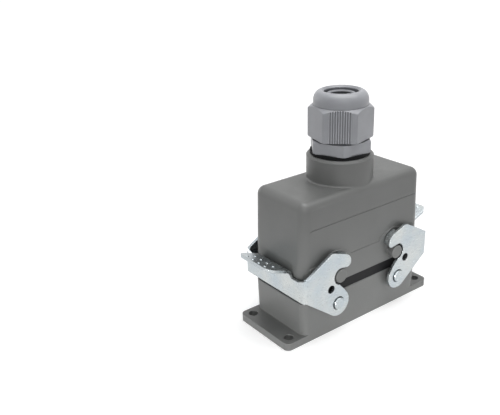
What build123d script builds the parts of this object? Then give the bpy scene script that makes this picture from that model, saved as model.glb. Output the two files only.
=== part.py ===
from build123d import *
import math
import os

# Heavy duty rectangular connector: a bulkhead housing and a hood that mate on a rubber
# gasket, two locking levers, a cable gland and the pair of contact inserts inside.
# Millimetres, +Z up. The origin is the centre of the flange's mounting face, X runs
# along the housing and each lever swings about a line parallel to Y.

# Mounting flange
FLANGE_OVERHANG = 12.0
FLANGE_THICKNESS = 4.4
FLANGE_CORNER_RADIUS = 3.2
MOUNT_HOLE_MARGIN = 5.5
MOUNT_HOLE_DIAMETER = 5.5
SEAL_CORD_WIDTH = 2.0
SEAL_CORD_HEIGHT = 1.8
SEAL_GROOVE_CLEARANCE = 0.05
SEAL_INSET = 1.1

# Base housing
BASE_WIDTH = 43.0
BASE_TOP_LENGTH = 91.4
BASE_END_LEAN = 0.7
BASE_HEIGHT = 24.2
BASE_CORNER_RADIUS = 4.5
BASE_EDGE_RADIUS = 0.6
CAVITY_END_WALL = 4.0
CAVITY_SIDE_WALL = 4.1
CAVITY_CORNER_RADIUS = 3.0
RIM_WALL = 2.2
RIM_HEIGHT = 5.0

# Gasket on the rim
GASKET_BAND = 6.5
GASKET_SIDE = 1.3
GASKET_FIT = 0.05

# Hood
HOOD_OVERHANG = 0.3
HOOD_HEIGHT = 50.9
HOOD_DRAFT = 1.4
HOOD_WALL = 3.0
HOOD_ROOF = 3.5
HOOD_CORNER_RADIUS = 6.2
HOOD_TOP_MARGIN = 0.25
SKIRT_HEIGHT = 14.3
SKIRT_END_MARGIN = 1.0
SKIRT_ARCH_RADIUS = 14.0
PARTING_LINE_HEIGHT = 35.7
PARTING_LINE_LENGTH = 81.2
PARTING_GROOVE_WIDTH = 0.35
PARTING_GROOVE_DEPTH = 0.25
COLLAR_SIDE_MARGIN = 1.9
COLLAR_HEIGHT = 14.4
COLLAR_CHAMFER = 1.2
COLLAR_FOOT_RADIUS = 1.0

# Latch pegs of the hood
PEG_X = 22.1
PEG_Z = 36.4
PEG_RADIUS = 4.0
PEG_STANDOFF = 0.3
PEG_EDGE_RADIUS = 0.5

# Lever pins of the base
PIVOT_X = 23.9
PIVOT_Z = 20.1
PIN_RADIUS = 3.5
PIN_STANDOFF = 1.1
PIN_CHAMFER = 0.4
PIN_STUB_RADIUS = 2.5
PIN_STUB_LENGTH = 5.2
PIN_STUB_FIT = 0.02
PIN_BOSS_RADIUS = 4.0

# Locking levers, bent from one steel sheet each. The hook's points are (X, Z) from the peg's centre
LEVER_SHEET = 1.6
LEVER_SIDE_GAP = 0.3
LEVER_ARM_STANDOFF = 4.2
LEVER_END_STANDOFF = 2.5
LEVER_BEND_RADIUS = 2.6
LEVER_EYE_RADIUS = 7.7
LEVER_PIN_CLEARANCE = 0.5
LATCH_PLAY = 0.8
NOTCH_CLEARANCE = 1.2
HOOK_BACK = (15.4, 11.1)
HOOK_BACK_RADIUS = 15.0
HOOK_CROWN = (6.7, 15.7)
HOOK_CROWN_RADIUS = 3.0
HOOK_NOSE = (-7.0, 10.8)
HOOK_NOSE_RADIUS = 5.4
HOOK_TIP_RADIUS = 2.6
HOOK_MOUTH = (-2.8, 4.6)
HOOK_THROAT = (3.4, -2.6)
HOOK_SHOULDER = (-2.4, -9.0)
HOOK_SHOULDER_RADIUS = 3.0
MOUTH_SWEEP_ANGLE = 60.0
BLANK_BACK = 12.0
BLANK_RISE = 20.0
BRIDGE_BOTTOM_Z = 27.9
BRIDGE_TOP_Z = 42.0
RELIEF_START_Y = 12.6
RELIEF_SLOPE = 1.8
RELIEF_END_MARGIN = 5.8
RELIEF_INNER_RADIUS = 1.6
RELIEF_OUTER_RADIUS = 3.0
RELIEF_BOTTOM_Z = 39.6
SPRING_HOLE_X = 29.5
SPRING_HOLE_Z = 30.6
SPRING_HOLE_RADIUS = 2.4
CURL_DEPTH = 2.2
CURL_CENTRE = (-4.6, 11.0)
CURL_LENGTH = 9.0
CURL_HEIGHT = 9.4
LIP_REACH = 14.6
LIP_RISE_ANGLE = 20.0
LIP_HALF_WIDTH = 13.4
LIP_CORNER_RADIUS = 5.0
LIP_BEND_RADIUS = 1.5

# Cable gland
GLAND_THREAD_SETBACK = 4.1
GLAND_THREAD_FIT = 0.05
GLAND_THREAD_LENGTH = 11.0
GLAND_BODY_WALL = 3.9
WASHER_SETBACK = 2.05
WASHER_THICKNESS = 1.85
HEX_FLAT_SETBACK = 1.1
HEX_CORNER_TRIM = 0.5
BODY_HEX_HEIGHT = 6.4
BODY_HEX_ANGLE = -7.5
UPPER_THREAD_SETBACK = 2.3
UPPER_THREAD_LENGTH = 11.0
CLAW_COUNT = 10
CLAW_LENGTH = 6.5
CLAW_SLOT_WIDTH = 1.2
NUT_GAP = 0.7
NUT_HEX_HEIGHT = 18.1
NUT_HEX_ANGLE = 15.0
NUT_SHOULDER_DROP = 2.2
NUT_SHOULDER_MARGIN = 0.3
NUT_MOUTH_CHAMFER = 1.0
NUT_THREAD_CLEARANCE = 0.15
NUT_THREAD_DEPTH = 12.4
DOME_SETBACK = 0.5
DOME_SKIRT = 2.4
DOME_CROWN_MARGIN = 1.1
DOME_HEIGHT = 7.7
DOME_RIM_WIDTH = 5.6
NUT_LIP = 1.5
RIB_COUNT = 10
RIB_PITCH = 1.3
RIB_WIDTH = 0.8
RIB_HEIGHT = 0.4
RIB_END_MARGIN = 0.3
SEAL_RING_WIDTH = 1.65
SEAL_RING_GAP = 1.8
CLAW_WALL = 3.0
SEAL_FIT = 0.1
SEAL_RECESS = 1.9
SEAL_HOLE_CHAMFER = 0.6
SEAL_SEAT_DEPTH = 4.0
CLAW_CLEARANCE = 0.4

# Contact inserts
INSERT_FLANGE_THICKNESS = 3.0
INSERT_SIDE_CLEARANCE = 0.5
INSERT_CORNER_RADIUS = 2.5
FIXING_END_MARGIN = 2.95
FIXING_SIDE_MARGIN = 3.9
POST_RADIUS = 3.3
POST_EDGE_RADIUS = 3.0
BASE_POST_FOOT_Z = 9.0
BASE_POST_TOP_Z = 20.0
HOOD_POST_END_Z = 47.0
BLOCK_END_MARGIN = 8.2
BLOCK_SIDE_MARGIN = 5.9
BLOCK_CORNER_RADIUS = 1.0
TERMINAL_LEDGE = 1.5
TERMINAL_HEIGHT = 13.0
MATING_GAP = 0.5
SHROUD_WALL = 1.5
SHROUD_CLEARANCE = 0.3
SHROUD_DEPTH = 17.0

# Contacts and their screws
CONTACT_COLUMNS = 8
CONTACT_END_MARGIN = 5.5
SOCKET_RADIUS = 2.2
CONTACT_PIN_RADIUS = 1.25
CONTACT_PLAY = 0.1
CONTACT_SEAT_FIT = 0.05
CONTACT_SETBACK = 0.6
CONTACT_PIN_LENGTH = 15.0
CONTACT_NECK = 2.0
WIRE_BORE_RADIUS = 1.6
WIRE_BORE_DEPTH = 8.0
TERMINAL_SCREW_RADIUS = 1.5
TERMINAL_SCREW_FIT = 0.05
TERMINAL_SCREW_RECESS = 0.4

# Fixing and earth screws
FIXING_SCREW_RADIUS = 1.5
FIXING_SCREW_LENGTH = 11.0
FIXING_HEAD_RADIUS = 2.6
FIXING_HEAD_HEIGHT = 2.2
FIXING_HOLE_CLEARANCE = 0.2
FIXING_THREAD_FIT = 0.05
EARTH_PLATE_GAP = 0.85
EARTH_PLATE_SIDE_GAP = 1.2
EARTH_PLATE_THICKNESS = 1.0
EARTH_SCREW_RADIUS = 1.75
EARTH_HEAD_RADIUS = 2.8
EARTH_HEAD_HEIGHT = 1.8
EARTH_SCREW_DEPTH = 2.5

# Heights and half sizes that follow from the sizes above
BASE_FOOT_LENGTH = BASE_TOP_LENGTH - 2 * BASE_END_LEAN
FLANGE_LENGTH = BASE_FOOT_LENGTH + 2 * FLANGE_OVERHANG
MOUNT_PITCH_X = FLANGE_LENGTH - 2 * MOUNT_HOLE_MARGIN
MOUNT_PITCH_Y = BASE_WIDTH - 2 * MOUNT_HOLE_MARGIN
CAVITY_LENGTH = BASE_TOP_LENGTH - 2 * CAVITY_END_WALL
CAVITY_WIDTH = BASE_WIDTH - 2 * CAVITY_SIDE_WALL
RIM_TOP_Z = BASE_HEIGHT + RIM_HEIGHT
MOUTH_Z = BASE_HEIGHT + GASKET_BAND
ROOF_Z = MOUTH_Z + HOOD_HEIGHT
CEILING_Z = ROOF_Z - HOOD_ROOF
COLLAR_TOP_Z = ROOF_Z + COLLAR_HEIGHT
RIM_LENGTH = CAVITY_LENGTH + 2 * RIM_WALL
RIM_WIDTH = CAVITY_WIDTH + 2 * RIM_WALL
RIM_CORNER_RADIUS = CAVITY_CORNER_RADIUS + RIM_WALL
HOOD_LENGTH = BASE_TOP_LENGTH + 2 * HOOD_OVERHANG
HOOD_WIDTH = BASE_WIDTH + 2 * HOOD_OVERHANG
HOOD_SLOPE = math.tan(math.radians(HOOD_DRAFT))
COLLAR_RADIUS = HOOD_WIDTH / 2 - HOOD_HEIGHT * HOOD_SLOPE - COLLAR_SIDE_MARGIN
LEVER_ARM_Y = HOOD_WIDTH / 2 + LEVER_ARM_STANDOFF
LEVER_REACH = HOOD_LENGTH / 2 + LEVER_END_STANDOFF
LEVER_INNER_Y = LEVER_ARM_Y - LEVER_SHEET
PIN_BOSS_Y = LEVER_INNER_Y - LEVER_SIDE_GAP
WASHER_RADIUS = COLLAR_RADIUS - WASHER_SETBACK
GLAND_THREAD_RADIUS = WASHER_RADIUS - GLAND_THREAD_SETBACK
GLAND_BORE_RADIUS = GLAND_THREAD_RADIUS - GLAND_BODY_WALL
HEX_ACROSS_FLATS = 2 * (WASHER_RADIUS - HEX_FLAT_SETBACK)
HEX_CORNER_RADIUS = HEX_ACROSS_FLATS / math.sqrt(3)
UPPER_THREAD_RADIUS = HEX_ACROSS_FLATS / 2 - UPPER_THREAD_SETBACK
DOME_RADIUS = HEX_ACROSS_FLATS / 2 - DOME_SETBACK
NUT_OPENING_RADIUS = DOME_RADIUS - DOME_RIM_WIDTH
SEAL_TOP_RADIUS = NUT_OPENING_RADIUS - SEAL_RING_GAP
SEAL_HOLE_RADIUS = SEAL_TOP_RADIUS - SEAL_RING_WIDTH
SEAL_BODY_RADIUS = UPPER_THREAD_RADIUS - CLAW_WALL
WASHER_TOP_Z = COLLAR_TOP_Z + WASHER_THICKNESS
BODY_HEX_TOP_Z = WASHER_TOP_Z + BODY_HEX_HEIGHT
NUT_FOOT_Z = BODY_HEX_TOP_Z + NUT_GAP
NUT_SHOULDER_Z = NUT_FOOT_Z + NUT_HEX_HEIGHT
NUT_TOP_Z = NUT_SHOULDER_Z + DOME_HEIGHT
NUT_THREAD_TOP_Z = NUT_FOOT_Z + NUT_THREAD_DEPTH
NUT_BORE_RADIUS = UPPER_THREAD_RADIUS + NUT_THREAD_CLEARANCE
UPPER_THREAD_TOP_Z = BODY_HEX_TOP_Z + UPPER_THREAD_LENGTH
CLAW_TOP_Z = UPPER_THREAD_TOP_Z + CLAW_LENGTH
SEAL_SEAT_Z = UPPER_THREAD_TOP_Z - SEAL_SEAT_DEPTH
FEMALE_FLANGE_TOP_Z = BASE_POST_TOP_Z + INSERT_FLANGE_THICKNESS
FEMALE_FOOT_Z = BASE_POST_TOP_Z - TERMINAL_HEIGHT
MALE_FACE_Z = HOOD_POST_END_Z - INSERT_FLANGE_THICKNESS
MALE_TOP_Z = HOOD_POST_END_Z + TERMINAL_HEIGHT
FEMALE_FACE_Z = MALE_FACE_Z - MATING_GAP
INSERT_LENGTH = CAVITY_LENGTH - 2 * INSERT_SIDE_CLEARANCE
INSERT_WIDTH = CAVITY_WIDTH - 2 * INSERT_SIDE_CLEARANCE
FIXING_PITCH_X = CAVITY_LENGTH - 2 * FIXING_END_MARGIN
FIXING_PITCH_Y = CAVITY_WIDTH - 2 * FIXING_SIDE_MARGIN
BLOCK_LENGTH = CAVITY_LENGTH - 2 * BLOCK_END_MARGIN
BLOCK_WIDTH = CAVITY_WIDTH - 2 * BLOCK_SIDE_MARGIN
TERMINAL_WIDTH = BLOCK_WIDTH + 2 * TERMINAL_LEDGE
CONTACT_PITCH = (BLOCK_LENGTH - 2 * CONTACT_END_MARGIN) / (CONTACT_COLUMNS - 1)
CONTACT_ROW_Y = BLOCK_WIDTH / 4
EARTH_X = (BLOCK_LENGTH + INSERT_LENGTH) / 4
EARTH_PLATE_LENGTH = (INSERT_LENGTH - BLOCK_LENGTH) / 2 - 2 * EARTH_PLATE_GAP
EARTH_PLATE_WIDTH = FIXING_PITCH_Y - 2 * (POST_RADIUS + EARTH_PLATE_SIDE_GAP)

SIDES = (-1, 1)
CORNERS = [(sx, sy) for sx in SIDES for sy in SIDES]


def prism(length, width, radius, low, high, taper=0.0):
    """Block with rounded upright corners that narrows upwards by the taper angle."""
    outline = Pos(0, 0, low) * RectangleRounded(length, width, radius)
    return extrude(outline, high - low, taper=taper)


def box_between(x0, x1, y0, y1, z0, z1):
    """Box given by its lowest and highest corners."""
    centre = Pos((x0 + x1) / 2, (y0 + y1) / 2, (z0 + z1) / 2)
    return centre * Box(abs(x1 - x0), abs(y1 - y0), abs(z1 - z0))


def upright_rod(x, y, radius, low, high):
    """Cylinder along Z between two heights."""
    return Pos(x, y, (low + high) / 2) * Cylinder(radius, high - low)


def cross_rod(x, z, radius, y0, y1):
    """Cylinder along Y between two distances."""
    return Pos(x, (y0 + y1) / 2, z) * Rot(90, 0, 0) * Cylinder(radius, abs(y1 - y0))


def turned(*points):
    """Solid of revolution about Z from (radius, height) points."""
    return revolve(Plane.XZ * Polygon(*points), Axis.Z)


def side_sketch(sketch, y0, y1):
    """Extrude a sketch drawn in (X, Z) between two distances along Y."""
    low, high = min(y0, y1), max(y0, y1)
    return extrude(Plane.XZ.offset(-high) * sketch, high - low)


def hood_half_width(z):
    """Distance from the middle to the hood's drafted long face at a height."""
    return HOOD_WIDTH / 2 - (z - MOUTH_Z) * HOOD_SLOPE


# Base housing and what stays on it


def seal_ring(clearance, height):
    """Ring between the cavity and the edge of the flange, on the mounting face."""
    inner_length = CAVITY_LENGTH + 2 * SEAL_INSET - 2 * clearance
    inner_width = CAVITY_WIDTH + 2 * SEAL_INSET - 2 * clearance
    inner_radius = CAVITY_CORNER_RADIUS + SEAL_INSET - clearance
    grown = SEAL_CORD_WIDTH + 2 * clearance
    outer = prism(inner_length + 2 * grown, inner_width + 2 * grown, inner_radius + grown, 0, height)
    return outer - prism(inner_length, inner_width, inner_radius, 0, height)


def corner_posts(low, high, reach_x, reach_y):
    """Four corner blocks with a rounded inner edge that carry an insert's fixing screws."""
    inner_x = FIXING_PITCH_X / 2 - POST_RADIUS
    inner_y = FIXING_PITCH_Y / 2 - POST_RADIUS
    block = box_between(inner_x, reach_x, inner_y, reach_y, low, high)
    inner_edge = block.edges().filter_by(Axis.Z).sort_by(Axis.X)[:2].sort_by(Axis.Y)[0]
    block = fillet(inner_edge, POST_EDGE_RADIUS)
    pair = block + mirror(block, about=Plane.YZ)
    return pair + mirror(pair, about=Plane.XZ)


def screw_holes(radius, low, high):
    """Four upright holes at the fixing pitch."""
    holes = [
        upright_rod(sx * FIXING_PITCH_X / 2, sy * FIXING_PITCH_Y / 2, radius, low, high)
        for sx, sy in CORNERS
    ]
    return sum(holes[1:], holes[0])


def base_housing():
    """Flange, body that widens slightly upwards, rim, pin bosses and insert posts."""
    flange = prism(FLANGE_LENGTH, BASE_WIDTH, FLANGE_CORNER_RADIUS, 0, FLANGE_THICKNESS)
    foot = RectangleRounded(BASE_FOOT_LENGTH, BASE_WIDTH, BASE_CORNER_RADIUS)
    top = Pos(0, 0, BASE_HEIGHT) * RectangleRounded(BASE_TOP_LENGTH, BASE_WIDTH, BASE_CORNER_RADIUS)
    body = loft([foot, top], ruled=True)
    body = fillet(body.faces().sort_by(Axis.Z)[-1].edges(), BASE_EDGE_RADIUS)
    rim = prism(RIM_LENGTH, RIM_WIDTH, RIM_CORNER_RADIUS, 0, RIM_TOP_Z)
    housing = flange + body + rim
    for sx, sy in CORNERS:
        boss = cross_rod(sx * PIVOT_X, PIVOT_Z, PIN_BOSS_RADIUS, sy * RIM_WIDTH / 2, sy * PIN_BOSS_Y)
        housing += boss
    housing -= prism(CAVITY_LENGTH, CAVITY_WIDTH, CAVITY_CORNER_RADIUS, 0, RIM_TOP_Z)
    housing += corner_posts(BASE_POST_FOOT_Z, BASE_POST_TOP_Z, RIM_LENGTH / 2, RIM_WIDTH / 2)
    housing -= screw_holes(
        FIXING_SCREW_RADIUS + FIXING_THREAD_FIT,
        BASE_POST_TOP_Z - FIXING_SCREW_LENGTH + INSERT_FLANGE_THICKNESS,
        BASE_POST_TOP_Z,
    )
    for sx, sy in CORNERS:
        housing -= upright_rod(
            sx * MOUNT_PITCH_X / 2, sy * MOUNT_PITCH_Y / 2, MOUNT_HOLE_DIAMETER / 2, 0, FLANGE_THICKNESS
        )
        housing -= cross_rod(
            sx * PIVOT_X,
            PIVOT_Z,
            PIN_STUB_RADIUS + PIN_STUB_FIT,
            sy * (PIN_BOSS_Y - PIN_STUB_LENGTH - PIN_STUB_FIT),
            sy * PIN_BOSS_Y,
        )
    return housing - seal_ring(SEAL_GROOVE_CLEARANCE, SEAL_CORD_HEIGHT + SEAL_GROOVE_CLEARANCE)


def rim_gasket():
    """Rubber angle section: a side against the rim and a top that the hood presses on."""
    outer_length = RIM_LENGTH + 2 * GASKET_SIDE
    outer_width = RIM_WIDTH + 2 * GASKET_SIDE
    outer = prism(outer_length, outer_width, RIM_CORNER_RADIUS + GASKET_SIDE, BASE_HEIGHT, MOUTH_Z)
    rim_seat = prism(
        RIM_LENGTH + 2 * GASKET_FIT,
        RIM_WIDTH + 2 * GASKET_FIT,
        RIM_CORNER_RADIUS + GASKET_FIT,
        BASE_HEIGHT,
        RIM_TOP_Z,
    )
    opening = prism(CAVITY_LENGTH, CAVITY_WIDTH, CAVITY_CORNER_RADIUS, BASE_HEIGHT, MOUTH_Z)
    return outer - rim_seat - opening


def pivot_pins():
    """Four stepped pins, pressed into the bosses, that the levers turn on."""
    head = PIN_STUB_LENGTH + LEVER_ARM_Y - PIN_BOSS_Y + PIN_STANDOFF
    pin = turned(
        (0, 0),
        (PIN_STUB_RADIUS, 0),
        (PIN_STUB_RADIUS, PIN_STUB_LENGTH),
        (PIN_RADIUS, PIN_STUB_LENGTH),
        (PIN_RADIUS, head - PIN_CHAMFER),
        (PIN_RADIUS - PIN_CHAMFER, head),
        (0, head),
    )
    start = PIN_BOSS_Y - PIN_STUB_LENGTH
    pins = [
        Pos(sx * PIVOT_X, sy * start, PIVOT_Z) * Rot(-90 * sy, 0, 0) * pin for sx, sy in CORNERS
    ]
    return sum(pins[1:], pins[0])


# Locking levers


def tangent_point(centre, radius, start, turn):
    """Point where a line from start touches the circle, on the side given by turn."""
    dx, dz = start[0] - centre[0], start[1] - centre[1]
    angle = math.atan2(dz, dx) + turn * math.acos(radius / math.hypot(dx, dz))
    return (centre[0] + radius * math.cos(angle), centre[1] + radius * math.sin(angle))


def from_peg(offset_xz):
    """Point in the side view given by its distance from the latch peg."""
    return (PEG_X + offset_xz[0], PEG_Z + offset_xz[1])


def arm_outline():
    """Side view of a lever: an eye on the pin, a web up to the bridge and a hook over the peg."""
    pivot = (PIVOT_X, PIVOT_Z)
    bridge_inner = LEVER_REACH - LEVER_SHEET
    latch_radius = math.hypot(PEG_X - PIVOT_X, PEG_Z - PIVOT_Z) + PEG_RADIUS + LATCH_PLAY
    nose = from_peg(HOOK_NOSE)
    tip = (nose[0], PIVOT_Z + math.sqrt(latch_radius**2 - (nose[0] - PIVOT_X) ** 2))
    lower_touch = tangent_point(pivot, LEVER_EYE_RADIUS, (bridge_inner, BRIDGE_BOTTOM_Z), -1)
    shoulder = from_peg(HOOK_SHOULDER)
    upper_touch = tangent_point(pivot, LEVER_EYE_RADIUS, shoulder, 1)
    corners = [
        ((LEVER_REACH, BRIDGE_BOTTOM_Z), 0),
        ((LEVER_REACH, BRIDGE_TOP_Z), 0),
        ((bridge_inner, BRIDGE_TOP_Z), 0),
        (from_peg(HOOK_BACK), HOOK_BACK_RADIUS),
        (from_peg(HOOK_CROWN), HOOK_CROWN_RADIUS),
        (nose, HOOK_NOSE_RADIUS),
        (tip, HOOK_TIP_RADIUS),
        (from_peg(HOOK_MOUTH), 0),
        (from_peg(HOOK_THROAT), 0),
        (shoulder, HOOK_SHOULDER_RADIUS),
        (upper_touch, 0),
        (pivot, 0),
        (lower_touch, 0),
        ((bridge_inner, BRIDGE_BOTTOM_Z), 0),
    ]
    points = [point for point, radius in corners]
    radii = [radius for point, radius in corners]
    outline = make_face(FilletPolyline(*points, radius=radii, close=True))
    outline += Pos(*pivot) * Circle(LEVER_EYE_RADIUS)
    latch_zone = Pos(*pivot) * Circle(latch_radius)
    notch = (Pos(PEG_X, PEG_Z) * Circle(PEG_RADIUS + NOTCH_CLEARANCE)) & latch_zone
    return outline - notch - mouth_sweep(latch_radius)


def mouth_sweep(latch_radius):
    """Ring sector that the peg travels through when the lever swings open."""
    pivot_distance = math.hypot(PEG_X - PIVOT_X, PEG_Z - PIVOT_Z)
    inner_radius = pivot_distance - PEG_RADIUS - NOTCH_CLEARANCE
    ring = Circle(latch_radius) - Circle(inner_radius)
    start = math.atan2(PEG_Z - PIVOT_Z, PEG_X - PIVOT_X)
    end = start + math.radians(MOUTH_SWEEP_ANGLE)
    far = 2 * latch_radius
    sector = Polygon(
        (0, 0),
        (far * math.cos(start), far * math.sin(start)),
        (far * math.cos(end), far * math.sin(end)),
    )
    return Pos(PIVOT_X, PIVOT_Z) * (ring & sector)


def bent_strip(path, thickness):
    """Closed section of a sheet whose one side follows a bent path."""
    return make_face(offset(path, amount=thickness, side=Side.LEFT))


def lever_lip():
    """Handle tab that bends outwards from the top of the bridge."""
    tip_x = LEVER_REACH + LIP_REACH
    tip_z = BRIDGE_TOP_Z + LIP_REACH * math.tan(math.radians(LIP_RISE_ANGLE))
    under_side = FilletPolyline(
        (LEVER_REACH, BRIDGE_TOP_Z - 2 * LEVER_SHEET),
        (LEVER_REACH, BRIDGE_TOP_Z),
        (tip_x, tip_z),
        radius=[LIP_BEND_RADIUS],
    )
    section = bent_strip(under_side, LEVER_SHEET)
    tab = side_sketch(section, -LIP_HALF_WIDTH, LIP_HALF_WIDTH)
    plan = Pos(LEVER_REACH, 0) * Rectangle(2 * LIP_REACH, 2 * LIP_HALF_WIDTH)
    plan = fillet(plan.vertices().sort_by(Axis.X)[-2:], LIP_CORNER_RADIUS)
    tall = extrude(plan, tip_z + 2 * LEVER_SHEET)
    return tab & tall


def corner_relief(side):
    """Rounded relief in the top edge of the bridge beside the bend."""
    outline = FilletPolyline(
        (RELIEF_START_Y, BRIDGE_TOP_Z),
        (RELIEF_START_Y + RELIEF_SLOPE, RELIEF_BOTTOM_Z),
        (LEVER_ARM_Y - RELIEF_END_MARGIN, RELIEF_BOTTOM_Z),
        (LEVER_ARM_Y, BRIDGE_TOP_Z),
        (LEVER_ARM_Y, BRIDGE_TOP_Z + LEVER_SHEET),
        (RELIEF_START_Y, BRIDGE_TOP_Z + LEVER_SHEET),
        radius=[0, RELIEF_INNER_RADIUS, RELIEF_OUTER_RADIUS, 0, 0, 0],
        close=True,
    )
    inside = Plane.YZ.offset(LEVER_REACH - LEVER_SHEET)
    cut = extrude(inside * make_face(outline), 2 * LEVER_SHEET)
    return cut if side > 0 else mirror(cut, about=Plane.XZ)


def hook_curl(outline, side):
    """Edge of the hook's nose, turned in towards the hood."""
    band = outline - offset(outline, amount=-LEVER_SHEET)
    nose = Pos(*from_peg(CURL_CENTRE)) * Rectangle(CURL_LENGTH, CURL_HEIGHT)
    inner = LEVER_INNER_Y - CURL_DEPTH
    return side_sketch(band & nose, side * inner, side * (LEVER_INNER_Y + LEVER_SHEET / 2))


def lever():
    """Right-hand lever: two arms, the bridge between them, the lip and the curled hooks."""
    plan_path = FilletPolyline(
        (PEG_X - BLANK_BACK, -LEVER_ARM_Y),
        (LEVER_REACH, -LEVER_ARM_Y),
        (LEVER_REACH, LEVER_ARM_Y),
        (PEG_X - BLANK_BACK, LEVER_ARM_Y),
        radius=[LEVER_BEND_RADIUS, LEVER_BEND_RADIUS],
    )
    strip = extrude(bent_strip(plan_path, LEVER_SHEET), PEG_Z + BLANK_RISE)
    outline = arm_outline()
    body = strip & side_sketch(outline, -LEVER_ARM_Y - LEVER_SHEET, LEVER_ARM_Y + LEVER_SHEET)
    for side in SIDES:
        body -= corner_relief(side)
        body += hook_curl(outline, side)
        body -= cross_rod(PIVOT_X, PIVOT_Z, PIN_RADIUS + LEVER_PIN_CLEARANCE, 0, side * 2 * LEVER_ARM_Y)
        body -= cross_rod(SPRING_HOLE_X, SPRING_HOLE_Z, SPRING_HOLE_RADIUS, 0, side * 2 * LEVER_ARM_Y)
    return body + lever_lip()


# Hood


def skirt():
    """Upright band along both long faces that rises in an arch round each latch peg."""
    half_length = HOOD_LENGTH / 2 - HOOD_CORNER_RADIUS + SKIRT_END_MARGIN
    band = Pos(0, MOUTH_Z + SKIRT_HEIGHT / 2) * Rectangle(2 * half_length, SKIRT_HEIGHT)
    for side in SIDES:
        band += Pos(side * PEG_X, PEG_Z) * Circle(SKIRT_ARCH_RADIUS)
    band &= Pos(0, ROOF_Z) * Rectangle(2 * half_length, 2 * HOOD_HEIGHT)
    return side_sketch(band, -HOOD_WIDTH / 2, HOOD_WIDTH / 2)


def latch_pegs():
    """Four round pegs cast on the long faces of the hood."""
    pegs = []
    for sx, sy in CORNERS:
        foot = hood_half_width(PEG_Z) - HOOD_WALL / 2
        peg = cross_rod(sx * PEG_X, PEG_Z, PEG_RADIUS, sy * foot, sy * (LEVER_ARM_Y + PEG_STANDOFF))
        end_edge = peg.edges().sort_by(Axis.Y)[-1 if sy > 0 else 0]
        pegs.append(fillet(end_edge, PEG_EDGE_RADIUS))
    return sum(pegs[1:], pegs[0])


def parting_grooves():
    """Fine line left by the mould slide along both long faces."""
    z = MOUTH_Z + PARTING_LINE_HEIGHT
    face = hood_half_width(z)
    half = PARTING_LINE_LENGTH / 2
    low, high = z - PARTING_GROOVE_WIDTH / 2, z + PARTING_GROOVE_WIDTH / 2
    groove = box_between(-half, half, face - PARTING_GROOVE_DEPTH, 2 * face, low, high)
    return groove + mirror(groove, about=Plane.XZ)


def at_collar_foot(point):
    """Whether a point lies where the collar meets the roof."""
    off_wall = abs(math.hypot(point.X, point.Y) - COLLAR_RADIUS)
    return off_wall < COLLAR_FOOT_RADIUS and point.Z < ROOF_Z + COLLAR_FOOT_RADIUS


def hood():
    """Drafted hollow hood with a threaded collar, four latch pegs and four insert posts."""
    shell = prism(HOOD_LENGTH, HOOD_WIDTH, HOOD_CORNER_RADIUS, MOUTH_Z, ROOF_Z, HOOD_DRAFT)
    top_corner_radius = HOOD_CORNER_RADIUS - HOOD_HEIGHT * HOOD_SLOPE
    shell = fillet(shell.faces().sort_by(Axis.Z)[-1].edges(), top_corner_radius - HOOD_TOP_MARGIN)
    shell += skirt()
    collar = upright_rod(0, 0, COLLAR_RADIUS, CEILING_Z, COLLAR_TOP_Z)
    collar = chamfer(collar.edges().sort_by(Axis.Z)[-1], COLLAR_CHAMFER)
    shell += collar
    foot_edges = [edge for edge in shell.edges() if at_collar_foot(edge.center())]
    shell = fillet(foot_edges, COLLAR_FOOT_RADIUS)
    shell -= parting_grooves()
    inner_length = HOOD_LENGTH - 2 * HOOD_WALL
    inner_width = HOOD_WIDTH - 2 * HOOD_WALL
    inner_radius = HOOD_CORNER_RADIUS - HOOD_WALL
    shell -= prism(inner_length, inner_width, inner_radius, MOUTH_Z, CEILING_Z, HOOD_DRAFT)
    shell -= upright_rod(0, 0, GLAND_THREAD_RADIUS + GLAND_THREAD_FIT, CEILING_Z, COLLAR_TOP_Z)
    shell += latch_pegs()
    shell += corner_posts(HOOD_POST_END_Z, CEILING_Z, inner_length / 2, inner_width / 2)
    return shell - screw_holes(
        FIXING_SCREW_RADIUS + FIXING_THREAD_FIT,
        HOOD_POST_END_Z,
        HOOD_POST_END_Z + FIXING_SCREW_LENGTH - INSERT_FLANGE_THICKNESS,
    )


# Cable gland


def hex_prism(angle, low, high):
    """Hexagonal prism with one corner at the given angle."""
    outline = RegularPolygon(HEX_ACROSS_FLATS / 2, 6, major_radius=False, rotation=angle)
    return extrude(Pos(0, 0, low) * outline, high - low)


def gland_washer():
    """Flat sealing washer between the collar and the gland body."""
    outer = upright_rod(0, 0, WASHER_RADIUS, COLLAR_TOP_Z, WASHER_TOP_Z)
    return outer - upright_rod(0, 0, GLAND_THREAD_RADIUS + GLAND_THREAD_FIT, COLLAR_TOP_Z, WASHER_TOP_Z)


def cone_radius(z):
    """Radius of the nut's inner cone at a height."""
    lip_z = NUT_TOP_Z - NUT_LIP
    share = (z - NUT_THREAD_TOP_Z) / (lip_z - NUT_THREAD_TOP_Z)
    return NUT_BORE_RADIUS + share * (NUT_OPENING_RADIUS - NUT_BORE_RADIUS)


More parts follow.
